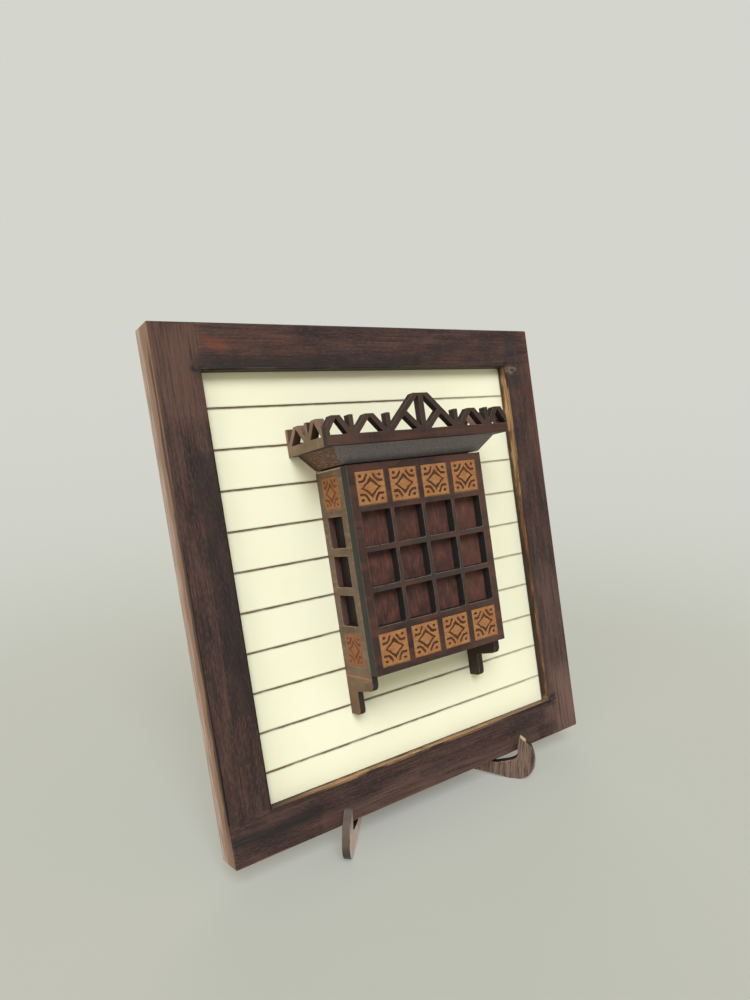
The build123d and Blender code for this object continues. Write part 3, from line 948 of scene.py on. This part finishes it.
def carved_tile_mesh(centre, across, width, height, thickness, out, cells, seed):
    # A closed slab whose outer face carries the pattern. across and out are unit vectors in panel axes.
    count = cells + 1
    rise = Vector((0, 0, 1))
    a = np.linspace(-0.5, 0.5, count)
    grid_x, grid_y = np.meshgrid(a, a, indexing="xy")
    pattern_x = grid_x * pattern_size
    pattern_y = grid_y * pattern_size
    wobble = (soft_noise(pattern_x, pattern_y, 5, seed), soft_noise(pattern_x, pattern_y, 5, seed + 50))
    cut = carving(pattern_x, pattern_y, wobble)
    cut = cut * (least_cut + cut_ripple * soft_noise(pattern_x, pattern_y, 6, seed + 90))
    cut = np.clip(cut, 0, 1)
    edge = np.minimum(0.5 - np.abs(grid_x), 0.5 - np.abs(grid_y)) * pattern_size
    rounding = np.clip((rim_width - edge) / rim_width, 0, 1) ** 2 * rim_sink
    ripple = face_ripple * (1 + soft_noise(pattern_x, pattern_y, 6, seed + 7))
    sink = cut * carve_depth + rounding + ripple
    points, faces, depths = [], [], []

    def put(x, y, back):
        spot = centre + across * (x * width) + rise * (y * height) - out * back
        points.append(panel @ (spot * mm))

    for j in range(count):
        for i in range(count):
            put(grid_x[j, i], grid_y[j, i], float(sink[j, i]))
            depths.append(float(cut[j, i]))
    for j in range(cells):
        for i in range(cells):
            k = j * count + i
            faces.append((k, k + 1, k + count + 1, k + count))
    rim = list(range(count))
    rim += [j * count + cells for j in range(1, count)]
    rim += [cells * count + i for i in range(cells - 1, -1, -1)]
    rim += [j * count for j in range(cells - 1, 0, -1)]
    first = len(points)
    for k in rim:
        j, i = divmod(k, count)
        put(grid_x[j, i], grid_y[j, i], thickness)
        depths.append(0.0)
    for n, k in enumerate(rim):
        after = (n + 1) % len(rim)
        faces.append((k, first + n, first + after, rim[after]))
    faces.append(tuple(range(len(points) - 1, first - 1, -1)))
    return points, faces, depths


def tile_size(low, high, on_side):
    # Width and height of one tile: front tiles are square, side tiles fill the width of their node.
    if on_side:
        return (high.y - low.y, pattern_size)
    return (high.z - low.z, high.z - low.z)


def tile_centres(low, high, tile, on_side):
    # Two tiles at the ends of a side node, or four in a row on the front.
    middle = (low + high) / 2
    if on_side:
        return [Vector((middle.x, middle.y, z)) for z in (low.z + tile[1] / 2, high.z - tile[1] / 2)]
    pitch = (high.x - low.x - tile[0]) / 3
    return [Vector((low.x + tile[0] / 2 + i * pitch, middle.y, middle.z)) for i in range(4)]


def carved_tiles(node, finish, cells, seed):
    low, high = panel_box(node)
    size = high - low
    on_side = size.x < size.y
    if on_side:
        across, out, thickness = Vector((0, 1, 0)), Vector((math.copysign(1, low.x), 0, 0)), size.x
    else:
        across, out, thickness = Vector((1, 0, 0)), Vector((0, -1, 0)), size.y
    tile = tile_size(low, high, on_side)
    points, faces, depths = [], [], []
    for n, centre in enumerate(tile_centres(low, high, tile, on_side)):
        face = centre + out * (thickness / 2)
        part = carved_tile_mesh(face, across, tile[0], tile[1], thickness, out, cells, seed + n)
        start = len(points)
        points += part[0]
        faces += [tuple(k + start for k in corners) for corners in part[1]]
        depths += part[2]
    mesh = bpy.data.meshes.new("carved_" + node)
    mesh.from_pydata(points, [], faces)
    attribute = mesh.attributes.new("carve", "FLOAT", "POINT")
    attribute.data.foreach_set("value", depths)
    shape = bmesh.new()
    shape.from_mesh(mesh)
    bmesh.ops.recalc_face_normals(shape, faces=shape.faces)
    shape.to_mesh(mesh)
    shape.free()
    mesh.shade_smooth()
    piece = bpy.data.objects.new("carved_" + node, mesh)
    bpy.context.scene.collection.objects.link(piece)
    mesh.materials.append(finish)
    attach(piece, "root")
    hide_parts(node)


# Stage, light and camera

floor_colour = colour(181, 184, 174)
backdrop_colour = colour(212, 213, 205)
ambient_light = (0.43, 0.355, 0.245, 1.0)
floor_reach = 6.0
floor_clear = 0.25
floor_glow = 0.3

# towards points from the part to the light. spread is in degrees.
suns = {
    "key": dict(towards=(-0.27, -0.61, 0.744), strength=2.42, spread=32.0, tint=(0.83, 0.91, 1.0)),
    "left": dict(towards=(-0.9, -0.32, 0.35), strength=0.7, spread=40.0, tint=(1.0, 0.98, 0.95)),
    "rear": dict(towards=(0.5, 0.8, 0.5), strength=0.5, spread=40.0, tint=(1.0, 0.98, 0.95)),
}


def floor():
    # A plain floor that fades into the background's colour far from the part.
    mesh = bpy.data.meshes.new("floor")
    corners = [(x * floor_reach, y * floor_reach, 0) for x, y in ((-1, -1), (1, -1), (1, 1), (-1, 1))]
    mesh.from_pydata(corners, [], [(0, 1, 2, 3)])
    piece = bpy.data.objects.new("floor", mesh)
    bpy.context.scene.collection.objects.link(piece)
    material = bpy.data.materials.new("pale_floor")
    material.use_nodes = True
    tree = material.node_tree
    shader = tree.nodes["Principled BSDF"]
    shader.inputs["Base Color"].default_value = floor_colour
    shader.inputs["Roughness"].default_value = 0.8
    shader.inputs["Specular IOR Level"].default_value = 0.2
    glow = tree.nodes.new("ShaderNodeEmission")
    glow.inputs["Color"].default_value = backdrop_colour
    place = tree.nodes.new("ShaderNodeTexCoord")
    far = tree.nodes.new("ShaderNodeVectorMath")
    far.operation = "LENGTH"
    tree.links.new(place.outputs["Object"], far.inputs[0])
    near = tree.nodes.new("ShaderNodeMath")
    near.operation = "DIVIDE"
    near.inputs[0].default_value = floor_clear
    tree.links.new(far.outputs["Value"], near.inputs[1])
    fade = tree.nodes.new("ShaderNodeMapRange")
    fade.interpolation_type = "SMOOTHSTEP"
    fade.inputs["To Min"].default_value = 1.0
    fade.inputs["To Max"].default_value = floor_glow
    tree.links.new(near.outputs["Value"], fade.inputs["Value"])
    mix = tree.nodes.new("ShaderNodeMixShader")
    tree.links.new(fade.outputs["Result"], mix.inputs[0])
    tree.links.new(shader.outputs[0], mix.inputs[1])
    tree.links.new(glow.outputs[0], mix.inputs[2])
    tree.links.new(mix.outputs[0], tree.nodes["Material Output"].inputs["Surface"])
    mesh.materials.append(material)


def sun(name, towards, strength, spread, tint):
    data = bpy.data.lights.new(name, "SUN")
    data.energy = strength
    data.angle = math.radians(spread)
    data.color = tint
    piece = bpy.data.objects.new(name, data)
    piece.rotation_euler = Vector(towards).to_track_quat("Z", "Y").to_euler()
    bpy.context.scene.collection.objects.link(piece)


def studio():
    # The background's colour shows to the camera and in glossy and clear surfaces; the rest is light.
    world = bpy.data.worlds.new("studio")
    bpy.context.scene.world = world
    world.use_nodes = True
    tree = world.node_tree
    background = tree.nodes["Background"]
    background.inputs["Strength"].default_value = 1.0
    path = tree.nodes.new("ShaderNodeLightPath")
    seen = path.outputs["Is Camera Ray"]
    for ray in ("Is Glossy Ray", "Is Transmission Ray"):
        either = tree.nodes.new("ShaderNodeMath")
        either.operation = "MAXIMUM"
        tree.links.new(seen, either.inputs[0])
        tree.links.new(path.outputs[ray], either.inputs[1])
        seen = either.outputs[0]
    mix = tree.nodes.new("ShaderNodeMix")
    mix.data_type = "RGBA"
    tree.links.new(seen, mix.inputs[0])
    mix.inputs[6].default_value = ambient_light
    mix.inputs[7].default_value = backdrop_colour
    tree.links.new(mix.outputs[2], background.inputs["Color"])
    for name, light in suns.items():
        sun(name, **light)


def camera():
    data = bpy.data.cameras.new("camera")
    data.sensor_fit = "AUTO"
    data.sensor_width = sensor_mm
    data.lens = focal_pixels * sensor_mm / image_height
    data.shift_x = (image_width / 2 - centre_pixels[0]) / image_height
    data.shift_y = (centre_pixels[1] - image_height / 2) / image_height
    data.clip_start = nearest_seen
    piece = bpy.data.objects.new("camera", data)
    piece.location = camera_place
    piece.rotation_euler = camera_aim.to_track_quat("-Z", "Y").to_euler()
    bpy.context.scene.collection.objects.link(piece)
    bpy.context.scene.camera = piece


# The parts of the plaque, each with its finishes

lattice_tones = dict(dark=(40, 27, 24), light=(68, 47, 40), cut=(44, 45, 43), facing="v", marks=lattice_marks)
side_tones = dict(dark=(84, 66, 54), light=(118, 96, 78), cut=(56, 44, 40), facing="u", marks=side_marks)
floor_tones = dict(dark=(60, 44, 38), light=(88, 66, 56), cut=(52, 40, 34), facing="v")
crest_tones = dict(dark=(42, 28, 25), light=(71, 50, 43), cut=(54, 39, 36), facing="v", marks=crest_marks)
return_tones = dict(dark=(100, 78, 60), light=(140, 114, 90), cut=(76, 54, 46), facing="u", top=(128, 97, 84))


def plate(names, finish_name, seed, tones, lip_and_highlight, ease):
    # Thin plates whose eased edges take the lip colour, rubbed wear and a painted highlight where they face
    # up or right.
    face = plate_stain(finish_name + "_stain", seed, **tones)
    edge = plate_stain(finish_name + "_edge", seed, lip_and_highlight=lip_and_highlight, **tones)
    dress(names, face, edge, ease=ease)


def frame_and_boards():
    stained = frame_stain("frame_stained")
    worn = frame_stain("frame_worn_and_highlit", worn=True)
    for node in joint_plane:
        eased_rail(node, stained, worn)
    dress(["plank_board"], ivory_paint(), ease=0.1, rounds=1)
    dress(["back_panel"], raw_board(), ease=0.2)


def window_box():
    plate(["lattice_front"], "lattice", 41.0, lattice_tones, (122, 104, 88), 0.25)
    plate(["side_panel_left", "side_panel_right"], "side", 51.0, side_tones, (168, 146, 112), 0.22)
    dress(["box_floor"], plate_stain("floor_stain", 57.0, **floor_tones), ease=0.2)
    dress(["backing_front", "backing_left", "backing_right"], backing_stain_and_shade(), ease=0.1)


def cornice():
    dress(["soffit_front", "soffit_left", "soffit_right", "cornice_roof"], soffit_stain_shade_reflection(), ease=0.15)
    plate(["crest_front"], "crest", 91.0, crest_tones, (120, 92, 74), 0.16)
    plate(["crest_left", "crest_right"], "return", 95.0, return_tones, (146, 120, 94), 0.16)


def stand():
    for node, name, hand in (("stand_plate_left", "stand_left", -1), ("stand_plate_right", "stand_right", 1)):
        edge = stand_stain(name + "_edge", hand, worn=True)
        dress([node], stand_stain(name, hand), edge, ease=0.35, rounds=3)


def tiles():
    front = tile_finish("front_tile", 101.0, wood=(160, 111, 67), scorch=(78, 48, 34))
    side = tile_finish("side_tile", 105.0, wood=(153, 102, 61), scorch=(112, 68, 42), dull=True)
    carved_tiles("front_tiles_upper", front, cells=128, seed=11)
    carved_tiles("front_tiles_lower", front, cells=128, seed=21)
    carved_tiles("side_tiles_left", side, cells=80, seed=31)
    carved_tiles("side_tiles_right", side, cells=80, seed=41)


frame_and_boards()
window_box()
cornice()
stand()
tiles()
floor()
studio()
camera()
bpy.context.scene.view_settings.view_transform = "Standard"
